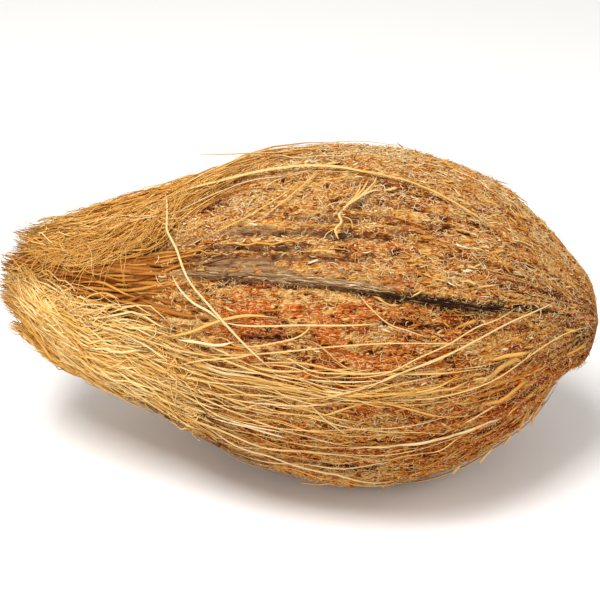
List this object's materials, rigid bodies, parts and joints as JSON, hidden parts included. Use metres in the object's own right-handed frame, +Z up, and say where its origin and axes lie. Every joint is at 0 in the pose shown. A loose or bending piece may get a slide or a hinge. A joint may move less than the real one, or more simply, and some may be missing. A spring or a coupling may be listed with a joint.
{
  "type": "coconut",
  "caption": "Part-husked coconut lying on its side, with a thick coir coat, a pointed apex and a fibre tuft over the eyes.",
  "frame": {"origin": "middle of the box's base, on the surface that the coconut lies on", "axes": "+X along the nut from the tuft to the apex, +Z up, -Y towards the tall keel's side"},
  "size_m": [0.21, 0.1184, 0.1157],
  "materials": {
    "coir_husk": "matt, rough and fibrous"
  },
  "bodies": {
    "root": {"coconut": "coir_husk"}
  },
  "joints": []
}
